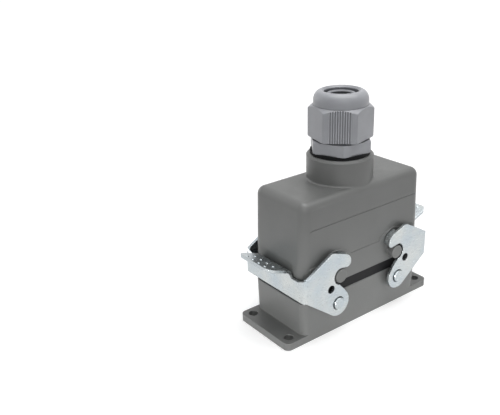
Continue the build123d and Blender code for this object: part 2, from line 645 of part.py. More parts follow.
def gland_body():
    """Threaded body with a hexagon below and slotted clamping claws above."""
    trim = HEX_CORNER_RADIUS - HEX_CORNER_TRIM
    hexagon = hex_prism(BODY_HEX_ANGLE, WASHER_TOP_Z, BODY_HEX_TOP_Z) & turned(
        (0, WASHER_TOP_Z),
        (trim, WASHER_TOP_Z),
        (HEX_CORNER_RADIUS + HEX_CORNER_TRIM, WASHER_TOP_Z + HEX_CORNER_TRIM),
        (HEX_CORNER_RADIUS + HEX_CORNER_TRIM, BODY_HEX_TOP_Z - HEX_CORNER_TRIM),
        (trim, BODY_HEX_TOP_Z),
        (0, BODY_HEX_TOP_Z),
    )
    foot_z = COLLAR_TOP_Z - GLAND_THREAD_LENGTH
    claw_inner = SEAL_BODY_RADIUS + SEAL_FIT
    body = hexagon + turned(
        (0, foot_z),
        (GLAND_THREAD_RADIUS, foot_z),
        (GLAND_THREAD_RADIUS, BODY_HEX_TOP_Z),
        (UPPER_THREAD_RADIUS, BODY_HEX_TOP_Z),
        (UPPER_THREAD_RADIUS, UPPER_THREAD_TOP_Z),
        (UPPER_THREAD_RADIUS - CLAW_CLEARANCE, UPPER_THREAD_TOP_Z),
        (cone_radius(CLAW_TOP_Z) - CLAW_CLEARANCE, CLAW_TOP_Z),
        (0, CLAW_TOP_Z),
    )
    body -= turned(
        (0, foot_z),
        (GLAND_BORE_RADIUS, foot_z),
        (GLAND_BORE_RADIUS, SEAL_SEAT_Z),
        (claw_inner, SEAL_SEAT_Z),
        (claw_inner, CLAW_TOP_Z),
        (0, CLAW_TOP_Z),
    )
    slot = box_between(
        0, 2 * claw_inner, -CLAW_SLOT_WIDTH / 2, CLAW_SLOT_WIDTH / 2, UPPER_THREAD_TOP_Z, CLAW_TOP_Z
    )
    for index in range(CLAW_COUNT):
        body -= Rot(0, 0, index * 360 / CLAW_COUNT) * slot
    return body


def gland_seal():
    """Rubber sleeve with the cable hole, seated inside the claws."""
    top_z = NUT_TOP_Z - SEAL_RECESS
    return turned(
        (SEAL_HOLE_RADIUS, SEAL_SEAT_Z),
        (SEAL_BODY_RADIUS, SEAL_SEAT_Z),
        (SEAL_BODY_RADIUS, CLAW_TOP_Z),
        (SEAL_TOP_RADIUS, top_z),
        (SEAL_HOLE_RADIUS + SEAL_HOLE_CHAMFER, top_z),
        (SEAL_HOLE_RADIUS, top_z - SEAL_HOLE_CHAMFER),
    )


def nut_ribs():
    """Fine upright ribs on every second flat of the nut, up to its shoulder."""
    flat = HEX_ACROSS_FLATS / 2
    rib = Polygon(
        (flat - RIB_HEIGHT, -RIB_WIDTH / 2),
        (flat, -RIB_WIDTH / 2),
        (flat + RIB_HEIGHT, 0),
        (flat, RIB_WIDTH / 2),
        (flat - RIB_HEIGHT, RIB_WIDTH / 2),
    )
    low = NUT_FOOT_Z + RIB_END_MARGIN
    upright = extrude(Pos(0, 0, low) * rib, NUT_SHOULDER_Z - low)
    ribs = []
    for facet in range(3):
        for index in range(RIB_COUNT):
            shift = (index - (RIB_COUNT - 1) / 2) * RIB_PITCH
            ribs.append(Rot(0, 0, NUT_HEX_ANGLE - 30 + 120 * facet) * Pos(0, shift, 0) * upright)
    return ribs


def gland_nut():
    """Dome nut: hexagon with a chamfered shoulder, a domed head and an inner clamping cone."""
    nut = hex_prism(NUT_HEX_ANGLE, NUT_FOOT_Z, NUT_SHOULDER_Z)
    for rib in nut_ribs():
        nut += rib
    nut &= turned(
        (0, NUT_FOOT_Z),
        (HEX_CORNER_RADIUS - HEX_CORNER_TRIM, NUT_FOOT_Z),
        (HEX_CORNER_RADIUS + HEX_CORNER_TRIM, NUT_FOOT_Z + 2 * HEX_CORNER_TRIM),
        (HEX_CORNER_RADIUS + HEX_CORNER_TRIM, NUT_SHOULDER_Z - NUT_SHOULDER_DROP),
        (HEX_CORNER_RADIUS, NUT_SHOULDER_Z - NUT_SHOULDER_DROP),
        (DOME_RADIUS + NUT_SHOULDER_MARGIN, NUT_SHOULDER_Z),
        (0, NUT_SHOULDER_Z),
    )
    return nut + dome() - nut_bore()


def dome():
    """Domed head above the hexagon, a short upright skirt under a quarter ellipse."""
    skirt_top = NUT_SHOULDER_Z + DOME_SKIRT
    crown = NUT_OPENING_RADIUS + DOME_CROWN_MARGIN
    section = Polyline(
        (crown, NUT_TOP_Z),
        (0, NUT_TOP_Z),
        (0, NUT_SHOULDER_Z - DOME_SKIRT),
        (DOME_RADIUS, NUT_SHOULDER_Z - DOME_SKIRT),
        (DOME_RADIUS, skirt_top),
    )
    curve = EllipticalCenterArc(
        (crown, skirt_top), DOME_RADIUS - crown, NUT_TOP_Z - skirt_top, start_angle=0, arc_size=90
    )
    return revolve(Plane.XZ * make_face(section + curve), Axis.Z)


def nut_bore():
    """Thread bore, clamping cone and opening of the nut."""
    return turned(
        (0, NUT_FOOT_Z),
        (NUT_BORE_RADIUS, NUT_FOOT_Z),
        (NUT_BORE_RADIUS, NUT_THREAD_TOP_Z),
        (NUT_OPENING_RADIUS, NUT_TOP_Z - NUT_LIP),
        (NUT_OPENING_RADIUS, NUT_TOP_Z - NUT_MOUTH_CHAMFER),
        (NUT_OPENING_RADIUS + NUT_MOUTH_CHAMFER, NUT_TOP_Z),
        (0, NUT_TOP_Z),
    )


# Contact inserts


def contact_places():
    """Centres of the contacts, two rows of columns."""
    first = -(CONTACT_COLUMNS - 1) / 2 * CONTACT_PITCH
    return [
        (first + column * CONTACT_PITCH, side * CONTACT_ROW_Y)
        for column in range(CONTACT_COLUMNS)
        for side in SIDES
    ]


def terminal_holes(z):
    """Side holes that the terminal screws sit in."""
    radius = TERMINAL_SCREW_RADIUS + TERMINAL_SCREW_FIT
    return [cross_rod(x, z, radius, y, math.copysign(TERMINAL_WIDTH / 2, y)) for x, y in contact_places()]


def insert_flange(low):
    """Plate with four fixing holes that an insert is screwed down by."""
    plate = prism(INSERT_LENGTH, INSERT_WIDTH, INSERT_CORNER_RADIUS, low, low + INSERT_FLANGE_THICKNESS)
    return plate - screw_holes(
        FIXING_SCREW_RADIUS + FIXING_HOLE_CLEARANCE, low, low + INSERT_FLANGE_THICKNESS
    )


def earth_holes(low, high):
    """Blind holes of the two earth screws."""
    radius = EARTH_SCREW_RADIUS + FIXING_THREAD_FIT
    return [upright_rod(side * EARTH_X, 0, radius, low, high) for side in SIDES]


def female_insert():
    """Carrier of the sockets: terminal block below its flange, mating block above."""
    block = insert_flange(BASE_POST_TOP_Z)
    block += box_between(
        -BLOCK_LENGTH / 2, BLOCK_LENGTH / 2, -TERMINAL_WIDTH / 2, TERMINAL_WIDTH / 2,
        FEMALE_FOOT_Z, BASE_POST_TOP_Z,
    )
    block += prism(BLOCK_LENGTH, BLOCK_WIDTH, BLOCK_CORNER_RADIUS, BASE_POST_TOP_Z, FEMALE_FACE_Z)
    for x, y in contact_places():
        block -= upright_rod(x, y, SOCKET_RADIUS + CONTACT_SEAT_FIT, FEMALE_FOOT_Z, FEMALE_FACE_Z)
    for hole in terminal_holes(FEMALE_FOOT_Z + TERMINAL_HEIGHT / 2):
        block -= hole
    for hole in earth_holes(FEMALE_FLANGE_TOP_Z - EARTH_SCREW_DEPTH, FEMALE_FLANGE_TOP_Z):
        block -= hole
    return block


def male_insert():
    """Carrier of the pins: terminal block above its flange, shroud round the mating block."""
    inner_length = BLOCK_LENGTH + 2 * SHROUD_CLEARANCE
    inner_width = BLOCK_WIDTH + 2 * SHROUD_CLEARANCE
    inner_radius = BLOCK_CORNER_RADIUS + SHROUD_CLEARANCE
    low = MALE_FACE_Z - SHROUD_DEPTH
    block = prism(
        inner_length + 2 * SHROUD_WALL,
        inner_width + 2 * SHROUD_WALL,
        inner_radius + SHROUD_WALL,
        low,
        MALE_FACE_Z,
    )
    block -= prism(inner_length, inner_width, inner_radius, low, MALE_FACE_Z)
    block += insert_flange(MALE_FACE_Z)
    block += box_between(
        -BLOCK_LENGTH / 2, BLOCK_LENGTH / 2, -TERMINAL_WIDTH / 2, TERMINAL_WIDTH / 2,
        HOOD_POST_END_Z, MALE_TOP_Z,
    )
    neck_top = MALE_FACE_Z + CONTACT_NECK
    for x, y in contact_places():
        block -= upright_rod(x, y, CONTACT_PIN_RADIUS + CONTACT_SEAT_FIT, MALE_FACE_Z, neck_top)
        block -= upright_rod(x, y, SOCKET_RADIUS + CONTACT_SEAT_FIT, neck_top, MALE_TOP_Z)
    for hole in terminal_holes(HOOD_POST_END_Z + TERMINAL_HEIGHT / 2):
        block -= hole
    for hole in earth_holes(HOOD_POST_END_Z - EARTH_SCREW_DEPTH, HOOD_POST_END_Z):
        block -= hole
    return block


def repeat_at(solid, places):
    """Copies of a solid at a list of (x, y) places, kept as separate solids."""
    copies = [Pos(x, y, 0) * solid for x, y in places]
    return Compound(children=copies)


def female_contacts():
    """Sockets: tubes that the pins enter from above and the wires from below."""
    low = FEMALE_FOOT_Z + CONTACT_SETBACK
    high = FEMALE_FACE_Z - CONTACT_SETBACK
    bore = CONTACT_PIN_RADIUS + CONTACT_PLAY
    tube = turned((bore, low), (SOCKET_RADIUS, low), (SOCKET_RADIUS, high), (bore, high))
    return repeat_at(tube, contact_places())


def male_contacts():
    """Pins with a thicker rear end that takes the wire."""
    neck_top = MALE_FACE_Z + CONTACT_NECK
    tip = FEMALE_FACE_Z - CONTACT_PIN_LENGTH
    rear = MALE_TOP_Z - CONTACT_SETBACK
    pin = turned(
        (0, tip),
        (CONTACT_PIN_RADIUS / 2, tip),
        (CONTACT_PIN_RADIUS, tip + CONTACT_PIN_RADIUS),
        (CONTACT_PIN_RADIUS, neck_top),
        (SOCKET_RADIUS, neck_top),
        (SOCKET_RADIUS, rear),
        (WIRE_BORE_RADIUS, rear),
        (WIRE_BORE_RADIUS, rear - WIRE_BORE_DEPTH),
        (0, rear - WIRE_BORE_DEPTH),
    )
    return repeat_at(pin, contact_places())


def terminal_screws(z):
    """Headless clamp screws, one at each contact, from the long sides."""
    screws = []
    for x, y in contact_places():
        start = math.copysign(CONTACT_ROW_Y + SOCKET_RADIUS + CONTACT_SEAT_FIT, y)
        end = math.copysign(TERMINAL_WIDTH / 2 - TERMINAL_SCREW_RECESS, y)
        screws.append(cross_rod(x, z, TERMINAL_SCREW_RADIUS, start, end))
    return Compound(children=screws)


def fixing_screws(seat_z, up):
    """Four headed screws through an insert's flange; up is 1 where the head is on top."""
    far = seat_z - up * FIXING_SCREW_LENGTH
    head = seat_z + up * FIXING_HEAD_HEIGHT
    screws = []
    for sx, sy in CORNERS:
        x, y = sx * FIXING_PITCH_X / 2, sy * FIXING_PITCH_Y / 2
        shank = upright_rod(x, y, FIXING_SCREW_RADIUS, min(far, seat_z), max(far, seat_z))
        cap = upright_rod(x, y, FIXING_HEAD_RADIUS, min(head, seat_z), max(head, seat_z))
        screws.append(shank + cap)
    return Compound(children=screws)


def earth_plates(low):
    """Two contact plates on the ends of an insert's flange."""
    plates = []
    for side in SIDES:
        centre = side * EARTH_X
        plate = box_between(
            centre - EARTH_PLATE_LENGTH / 2, centre + EARTH_PLATE_LENGTH / 2,
            -EARTH_PLATE_WIDTH / 2, EARTH_PLATE_WIDTH / 2, low, low + EARTH_PLATE_THICKNESS,
        )
        hole = upright_rod(
            centre, 0, EARTH_SCREW_RADIUS + FIXING_HOLE_CLEARANCE, low, low + EARTH_PLATE_THICKNESS
        )
        plates.append(plate - hole)
    return Compound(children=plates)


def earth_screws(flange_top):
    """The two screws that hold the earth plates."""
    seat = flange_top + EARTH_PLATE_THICKNESS
    screws = []
    for side in SIDES:
        shank = upright_rod(side * EARTH_X, 0, EARTH_SCREW_RADIUS, flange_top - EARTH_SCREW_DEPTH, seat)
        cap = upright_rod(side * EARTH_X, 0, EARTH_HEAD_RADIUS, seat, seat + EARTH_HEAD_HEIGHT)
        screws.append(shank + cap)
    return Compound(children=screws)


def build_nodes():
    """Every sub-part by its node name."""
    right_lever = lever()
    return {
        "base_housing": base_housing(),
        "flange_seal": seal_ring(0, SEAL_CORD_HEIGHT),
        "rim_gasket": rim_gasket(),
        "pivot_pins": pivot_pins(),
        "lever_right": right_lever,
        "lever_left": mirror(right_lever, about=Plane.YZ),
        "hood": hood(),
        "gland_washer": gland_washer(),
        "gland_body": gland_body(),
        "gland_seal": gland_seal(),
        "gland_nut": gland_nut(),
        "female_insert": female_insert(),
        "female_contacts": female_contacts(),
        "female_terminal_screws": terminal_screws(FEMALE_FOOT_Z + TERMINAL_HEIGHT / 2),
        "female_fixing_screws": fixing_screws(FEMALE_FLANGE_TOP_Z, 1),
        "female_earth_plates": earth_plates(FEMALE_FLANGE_TOP_Z),
        "female_earth_screws": earth_screws(FEMALE_FLANGE_TOP_Z),
        "male_insert": male_insert(),
        "male_contacts": male_contacts(),
        "male_terminal_screws": terminal_screws(HOOD_POST_END_Z + TERMINAL_HEIGHT / 2),
        "male_fixing_screws": fixing_screws(MALE_FACE_Z, -1),
        "male_earth_plates": earth_plates(HOOD_POST_END_Z),
        "male_earth_screws": earth_screws(HOOD_POST_END_Z),
    }


os.makedirs("parts", exist_ok=True)
for node, shape in build_nodes().items():
    export_step(shape, f"parts/{node}.step")
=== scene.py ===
"""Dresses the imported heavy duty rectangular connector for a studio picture.

The file is laid out as an add-on: property groups hold the sizes and colours, one operator
makes each finish or group of pieces, and a sidebar panel lists them. Lengths are in metres,
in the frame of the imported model, with +Z up from the connector's mounting face.
"""

import math
from typing import NamedTuple

import bmesh
import bpy
from bpy.props import FloatProperty, FloatVectorProperty, IntProperty, PointerProperty
from mathutils import Matrix, Vector


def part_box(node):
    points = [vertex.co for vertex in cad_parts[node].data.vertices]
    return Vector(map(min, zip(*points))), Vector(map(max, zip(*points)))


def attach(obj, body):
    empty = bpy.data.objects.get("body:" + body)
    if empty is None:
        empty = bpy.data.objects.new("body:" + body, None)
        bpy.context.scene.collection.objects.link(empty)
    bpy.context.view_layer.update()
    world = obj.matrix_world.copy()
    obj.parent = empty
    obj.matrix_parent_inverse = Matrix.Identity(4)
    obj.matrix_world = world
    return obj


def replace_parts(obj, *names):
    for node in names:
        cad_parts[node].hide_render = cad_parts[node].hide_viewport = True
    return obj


bl_info = {
    "name": "Rectangular Connector Studio",
    "version": (1, 0, 0),
    "blender": (4, 5, 0),
    "location": "View3D > Sidebar > Connector",
    "description": "Finishes and studio for a bulkhead housing, hood, levers, gland and inserts",
    "category": "Object",
}

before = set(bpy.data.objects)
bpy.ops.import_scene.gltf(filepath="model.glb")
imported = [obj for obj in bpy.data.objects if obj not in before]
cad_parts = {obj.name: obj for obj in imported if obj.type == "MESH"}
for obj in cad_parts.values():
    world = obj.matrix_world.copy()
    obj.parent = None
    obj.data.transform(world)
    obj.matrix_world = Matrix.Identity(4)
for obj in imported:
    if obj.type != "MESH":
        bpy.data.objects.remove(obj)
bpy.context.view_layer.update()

MM = 0.001
WHITE = (1.0, 1.0, 1.0, 1.0)
# The levers, each with its side along X.
LEVERS = {"lever_left": -1, "lever_right": 1}

# A lip's top face looks up more than this, and its centre lies farther out than this.
LIP_UPWARD = 0.9
LIP_START = 49.5 * MM
SAME_NORMAL = 0.01
DIMPLE_SEGMENTS = 16
DIMPLE_RINGS = 8

# The gland's neck is measured from this far above the nut's foot upwards.
NECK_RISE = 5 * MM
SAME_RADIUS = 0.02 * MM
SAME_POINT = 0.001 * MM
SHARP_ANGLE = math.radians(30)
TURN_STEPS = 72
RIDGE_SIDES = 10

# Depth of a surface's relief, as a share of the size of its pattern.
GRAIN_RELIEF = 0.05
GLAND_RELIEF = 0.04
STREAK_RELIEF = 0.012
GROOVE_RELIEF = 0.01

# Widths over which two treatments of the gland's plastic blend into each other.
MOUTH_BLEND = 0.4 * MM
CORNER_BLEND = 0.6 * MM

# Half the floor's width, and how far it is whitened at which distances from the middle.
FLOOR_REACH = 4.0
LIFT_START, LIFT_END = 0.25, 1.2
LIFT_NEAR, LIFT_FAR = 0.36, 0.96


class Lamp(NamedTuple):
    """Square area lamp, with its power in watts and its beam's angle in degrees."""

    name: str
    place: tuple
    aim: tuple
    width: float
    power: float
    beam: float


LAMPS = (
    Lamp("lamp_above", (0.10, -0.02, 0.95), (0.0, 0.0, 0.05), 0.9, 9.5, 180.0),
    Lamp("lamp_camera", (-0.42, -0.60, 0.55), (0.0, 0.0, 0.08), 0.4, 1.0, 180.0),
    Lamp("lamp_left", (-0.90, -0.10, 0.08), (0.0, 0.0, -0.04), 0.15, 0.044, 16.0),
    Lamp("lamp_front", (0.40, -0.80, 0.05), (0.0, 0.0, -0.05), 0.15, 0.032, 16.0),
    Lamp("lamp_low", (-0.50, -0.70, 0.05), (0.0, 0.0, -0.05), 0.15, 0.060, 16.0),
    Lamp("lamp_back", (-0.35, 0.95, 0.30), (0.0, 0.0, 0.05), 0.4, 1.0, 180.0),
)


# Settings


def colour_setting(name, description, default):
    """Colour property shown as a swatch."""
    return FloatVectorProperty(
        name=name,
        description=description,
        default=default,
        subtype="COLOR",
        size=3,
        min=0.0,
        max=1.0,
    )


def length_setting(name, description, default):
    """Length property in metres."""
    return FloatProperty(
        name=name, description=description, default=default, min=0.0, unit="LENGTH", precision=5
    )


def shift_setting(name, description, default):
    """Length property in metres that may be negative."""
    return FloatProperty(
        name=name, description=description, default=default, unit="LENGTH", precision=5
    )


def share_setting(name, description, default):
    """Property between nothing and all."""
    return FloatProperty(
        name=name, description=description, default=default, min=0.0, max=1.0, subtype="FACTOR"
    )


def angle_setting(name, description, degrees):
    """Angle property whose default is given in degrees."""
    return FloatProperty(
        name=name, description=description, default=math.radians(degrees), unit="ROTATION"
    )


class HousingPaintSettings(bpy.types.PropertyGroup):
    grey: colour_setting("Grey", "Colour of the housing's paint", (0.128, 0.131, 0.128))
    worn_grey: colour_setting("Edge grey", "Colour of thin paint on an edge", (0.21, 0.21, 0.205))
    cloud: length_setting("Cloud size", "Size of the paint's slow changes of tone", 0.024)
    grain: length_setting("Grain size", "Size of the paint's fine pimples", 0.0009)
    gloss_low: share_setting("Lowest roughness", "Roughness of the smoothest paint", 0.34)
    gloss_high: share_setting("Highest roughness", "Roughness of the dullest paint", 0.46)
    edge: length_setting("Edge width", "Width of the thin paint along an edge", 0.0004)


class ZincSettings(bpy.types.PropertyGroup):
    cool: colour_setting("Cool zinc", "Bluish tone of the zinc plating", (0.42, 0.468, 0.50))
    warm: colour_setting("Warm zinc", "Yellowish tone of the zinc plating", (0.51, 0.532, 0.528))
    fleck_grey: colour_setting("Fleck grey", "Colour of the dull flecks", (0.18, 0.19, 0.20))
    patch: length_setting("Patch size", "Size of the plating's changes of tone", 0.011)
    fleck: length_setting("Fleck size", "Size of the dull flecks", 0.0011)
    fleck_strength: share_setting("Fleck strength", "How far the flecks darken the zinc", 0.45)
    streak: length_setting("Streak width", "Width of the sheet's rolling streaks", 0.0008)
    ripple: length_setting("Ripple size", "Size of the sheet's slow waves", 0.006)
    ripple_depth: length_setting("Ripple depth", "Depth of the sheet's slow waves", 0.00012)
    gloss_low: share_setting("Lowest roughness", "Roughness of the brightest streak", 0.22)
    gloss_high: share_setting("Highest roughness", "Roughness of the dullest streak", 0.38)
    edge: length_setting("Edge rounding", "Rounding of the cut edges in the shading", 0.00035)


class LipDimpleSettings(bpy.types.PropertyGroup):
    rows: IntProperty(
        name="Rows", description="Rows of grip dimples on a lever's lip", default=2, min=1
    )
    columns: IntProperty(name="Columns", description="Dimples in each row", default=4, min=1)
    row_pitch: length_setting("Row pitch", "Distance between the rows", 0.0059)
    column_pitch: length_setting("Column pitch", "Distance between a row's dimples", 0.0052)
    radius: length_setting("Radius", "Radius of a dimple at its foot", 0.0009)
    height: length_setting("Height", "Height of a dimple above the sheet", 0.00042)
    setback: length_setting("Setback", "Distance from the lip's end to the outer row", 0.0025)


class GlandSettings(bpy.types.PropertyGroup):
    grey: colour_setting("Grey", "Colour of the gland's plastic", (0.326, 0.334, 0.358))
    seal: colour_setting("Seal", "Colour of the gland's seal", (0.26, 0.265, 0.285))
    # The bore colour is painted shade for the deep hole in the seal.
    bore_shade: colour_setting("Bore", "Colour of the seal's bore", (0.006, 0.006, 0.007))
    flow: length_setting("Flow size", "Size of the plastic's changes of tone", 0.009)
    shine: length_setting("Shine size", "Size of the plastic's changes of gloss", 0.004)
    grain: length_setting("Grain size", "Size of the moulded grain", 0.0005)
    gloss_low: share_setting("Lowest roughness", "Roughness of the smoothest plastic", 0.30)
    gloss_high: share_setting("Highest roughness", "Roughness of the dullest plastic", 0.40)
    # The hollow reach and hollow tone give the painted shade in the gland's hollows.
    hollow: length_setting("Hollow reach", "Width of the hollows that look darker", 0.0009)
    hollow_shade_tone: share_setting("Hollow tone", "Brightness of the body's hollows", 0.36)
    mouth: length_setting("Mouth radius", "Radius within which no hollow is darkened", 0.0124)
    edge: length_setting("Edge rounding", "Rounding of the fine edges in the shading", 0.00008)
    corner: length_setting("Corner rounding", "Rounding of the hexagons' corners", 0.0011)
    corner_start: length_setting("Corner start", "Radius at which a corner starts", 0.0164)
    bore: length_setting("Bore radius", "Radius within which the seal is black", 0.0059)
    seal_flow: length_setting("Seal flow", "Size of the seal's changes of tone", 0.003)


class NutRibSettings(bpy.types.PropertyGroup):
    flat: length_setting("Flat distance", "Distance of the nut's flats from its axis", 0.0155)
    field: length_setting("Field", "Half width of the ribbed field on a flat", 0.0059)
    height: length_setting("Height", "Height of the ribs above the flat", 0.0004)
    # Painted shade on the ground between the ribs and painted highlight on their crests; the
    # hollow tone is the brightness of the painted shade in the nut's hollows.
    ground: share_setting("Ground", "Brightness of the ground between the ribs", 0.50)
    crest: FloatProperty(
        name="Crest", description="Brightness of the ribs' crests", default=1.55, min=0.0
    )
    hollow_shade_tone: share_setting("Hollow tone", "Brightness of the nut's hollows", 0.60)
    turn: angle_setting("Turn", "Direction of the first ribbed flat", -15.0)


class GlandThreadSettings(bpy.types.PropertyGroup):
    pitch: length_setting("Pitch", "Rise of the thread in one turn", 0.0015)
    core: length_setting("Core radius", "Radius of the neck between the turns", 0.01286)
    crest: length_setting("Crest radius", "Radius of the thread's rounded crest", 0.01326)
    ridge: length_setting("Ridge radius", "Radius of the thread's round section", 0.00052)


class RubberSettings(bpy.types.PropertyGroup):
    black: colour_setting("Black", "Colour of the gaskets", (0.012, 0.012, 0.013))
    bloom: colour_setting("Bloom", "Colour of the dust on the gaskets", (0.028, 0.028, 0.030))
    patch: length_setting("Bloom size", "Size of the dusty patches", 0.005)
    grain: length_setting("Grain size", "Size of the moulded grain", 0.0006)


class InsertSettings(bpy.types.PropertyGroup):
    pebble: colour_setting("Pebble grey", "Colour of the contact carriers", (0.47, 0.46, 0.40))
    silver: colour_setting("Silver", "Plating of the contacts", (0.86, 0.83, 0.76))
    tarnish: colour_setting("Tarnish", "Duller plating of the contacts", (0.70, 0.62, 0.48))
    fibre: length_setting("Fibre size", "Size of the carriers' changes of tone", 0.0025)
    grain: length_setting("Grain size", "Size of the carriers' grain", 0.0004)
    patch: length_setting("Tarnish size", "Size of the tarnished patches", 0.003)
    groove: length_setting("Groove width", "Width of the contacts' turning marks", 0.001)


class StudioSettings(bpy.types.PropertyGroup):
    lens: FloatProperty(
        name="Lens", description="Focal length of the camera", default=47.501, unit="CAMERA"
    )
    azimuth: angle_setting("Azimuth", "Turn of the camera round the object", -36.061)
    elevation: angle_setting("Elevation", "Camera's angle above the floor", 23.153)
    roll: angle_setting("Roll", "Camera's tilt", -2.048)
    distance: length_setting("Distance", "Camera's distance from its aim", 0.381567)
    aim_height: length_setting("Aim height", "Height of the point aimed at", 0.055)
    slide_right: shift_setting("Slide right", "Camera's shift to its right", -0.05113)
    slide_up: shift_setting("Slide up", "Camera's shift upwards", 0.006547)
    sky: share_setting("Sky", "Strength of the white room round the object", 0.12)
    floor: colour_setting("Floor", "Colour of the floor", (0.80, 0.80, 0.80))


# Node trees


class NodeSheet:
    """A node tree and short ways to add and join its nodes."""

    def __init__(self, tree):
        self.tree = tree

    def add(self, kind, x, y, **settings):
        """Adds a node and sets its plain properties."""
        node = self.tree.nodes.new(kind)
        node.location = (x, y)
        for key, value in settings.items():
            setattr(node, key, value)
        return node

    def feed(self, value, socket):
        """Gives a socket a plain value, or joins it to another node's output."""
        if isinstance(value, bpy.types.NodeSocket):
            self.tree.links.new(value, socket)
        else:
            socket.default_value = value

    def figure(self, operation, x, y, *values):
        """Output of a Math node."""
        node = self.add("ShaderNodeMath", x, y, operation=operation)
        for value, socket in zip(values, node.inputs):
            self.feed(value, socket)
        return node.outputs[0]

    def vector_figure(self, operation, x, y, *values):
        """Output of a Vector Math node: a value for a length or dot product, else a vector."""
        node = self.add("ShaderNodeVectorMath", x, y, operation=operation)
        for value, socket in zip(values, node.inputs):
            self.feed(value, socket)
        return node.outputs["Value" if operation in ("LENGTH", "DOT_PRODUCT") else "Vector"]

    def spread(self, value, x, y, low, high, from_low=0.3, from_high=0.7):
        """Maps values, by default the usual ones of a noise, to a range."""
        node = self.add("ShaderNodeMapRange", x, y)
        node.inputs["From Min"].default_value = from_low
        node.inputs["From Max"].default_value = from_high
        node.inputs["To Min"].default_value = low
        node.inputs["To Max"].default_value = high
        self.feed(value, node.inputs["Value"])
        return node.outputs["Result"]


class MaterialSheet(NodeSheet):
    """A new material whose patterns follow Object coordinates."""

    def __init__(self, name):
        self.material = bpy.data.materials.new(name)
        self.material.use_nodes = True
        super().__init__(self.material.node_tree)
        self.tree.nodes.clear()
        self.output = self.add("ShaderNodeOutputMaterial", 900, 0)
        self.place = self.add("ShaderNodeTexCoord", -1100, 0).outputs["Object"]

    def surface(self, **inputs):
        """Ends in a Principled shader and gives the material; underscores stand for spaces."""
        shader = self.add("ShaderNodeBsdfPrincipled", 600, 0)
        for name, value in inputs.items():
            self.feed(value, shader.inputs[name.replace("_", " ")])
        self.feed(shader.outputs["BSDF"], self.output.inputs["Surface"])
        return self.material

    def stretched(self, x, y, scale):
        """Object coordinates scaled by three numbers."""
        mapping = self.add("ShaderNodeMapping", x, y)
        mapping.inputs["Scale"].default_value = scale
        self.feed(self.place, mapping.inputs["Vector"])
        return mapping.outputs["Vector"]

    def noise(self, x, y, size, detail=3.0, place=None):
        """Noise whose features are about size metres wide."""
        noise = self.add("ShaderNodeTexNoise", x, y)
        noise.inputs["Scale"].default_value = 1.0 / size
        noise.inputs["Detail"].default_value = detail
        self.feed(self.place if place is None else place, noise.inputs["Vector"])
        return noise.outputs["Fac"]

    def patches(self, x, y, size, low, high, detail=3.0, from_low=0.3, from_high=0.7):
        """Noise spread over a range."""
        noise = self.noise(x, y, size, detail)
        return self.spread(noise, x + 200, y, low, high, from_low, from_high)

    def blend(self, factor, x, y, first, second):
        """Mixes two colours, each a plain one or a node's output."""
        mix = self.add("ShaderNodeMix", x, y, data_type="RGBA")
        self.feed(factor, mix.inputs["Factor"])
        colour_inputs = mix.inputs[6:8]
        for colour, socket in zip((first, second), colour_inputs):
            joined = isinstance(colour, bpy.types.NodeSocket)
            self.feed(colour if joined else (*colour, 1.0), socket)
        colour_output = mix.outputs[2]
        return colour_output

    def rounding(self, x, y, radius, samples):
        """Normal that rounds the edges in the shading."""
        rounded = self.add("ShaderNodeBevel", x, y, samples=samples)
        self.feed(radius, rounded.inputs["Radius"])
        return rounded.outputs["Normal"]

    def relief(self, height, x, y, depth, strength=1.0, normal=None):
        """Bump of a real depth in metres, on top of an earlier normal if given."""
        bump = self.add("ShaderNodeBump", x, y)
        bump.inputs["Strength"].default_value = strength
        bump.inputs["Distance"].default_value = depth
        self.feed(height, bump.inputs["Height"])
        if normal is not None:
            self.feed(normal, bump.inputs["Normal"])
        return bump.outputs["Normal"]

    def from_axis(self, x, y):
        """Distance from the gland's upright axis."""
        flat = self.vector_figure("MULTIPLY", x, y, self.place, (1.0, 1.0, 0.0))
        return self.vector_figure("LENGTH", x + 180, y, flat)


class LayoutSheet(NodeSheet):
    """A new Geometry Nodes tree with named inputs, each a whole number or a length."""

    def __init__(self, name, inputs):
        super().__init__(bpy.data.node_groups.new(name, "GeometryNodeTree"))
        new_socket = self.tree.interface.new_socket
        new_socket("Geometry", in_out="OUTPUT", socket_type="NodeSocketGeometry")
        for label, value in inputs.items():
            kind = "NodeSocketInt" if isinstance(value, int) else "NodeSocketFloat"
            new_socket(label, in_out="INPUT", socket_type=kind).default_value = value
        self.given = self.add("NodeGroupInput", -900, 0)
        self.result = self.add("NodeGroupOutput", 1000, 0)

    def finished(self, geometry, material):
        """Ends in Realize Instances and Set Material, and gives the tree."""
        real = self.add("GeometryNodeRealizeInstances", 550, 0)
        self.feed(geometry, real.inputs["Geometry"])
        finish = self.add("GeometryNodeSetMaterial", 780, 0)
        finish.inputs["Material"].default_value = material
        self.feed(real.outputs["Geometry"], finish.inputs["Geometry"])
        self.feed(finish.outputs["Geometry"], self.result.inputs["Geometry"])
        return self.tree


# Finishes


def dress(node_names, material):
    """Gives carried-over CAD nodes a material."""
    for name in node_names:
        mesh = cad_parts[name].data
        mesh.materials.clear()
        mesh.materials.append(material)


def shades(colour, darker, lighter):
    """Two shades of a colour, each as a share of its brightness."""
    base = Vector(colour)
    return base * darker, base * lighter


def edge_mask(sheet, x, y, width):
    """Value that rises to 1 along the edges of the shape, and the rounded normal there."""
    rounded = sheet.rounding(x, y, width, samples=6)
    geometry = sheet.add("ShaderNodeNewGeometry", x, y - 160)
    likeness = sheet.vector_figure("DOT_PRODUCT", x + 200, y, rounded, geometry.outputs["Normal"])
    return sheet.spread(likeness, x + 400, y, 1.0, 0.0, from_low=0.75, from_high=0.99), rounded


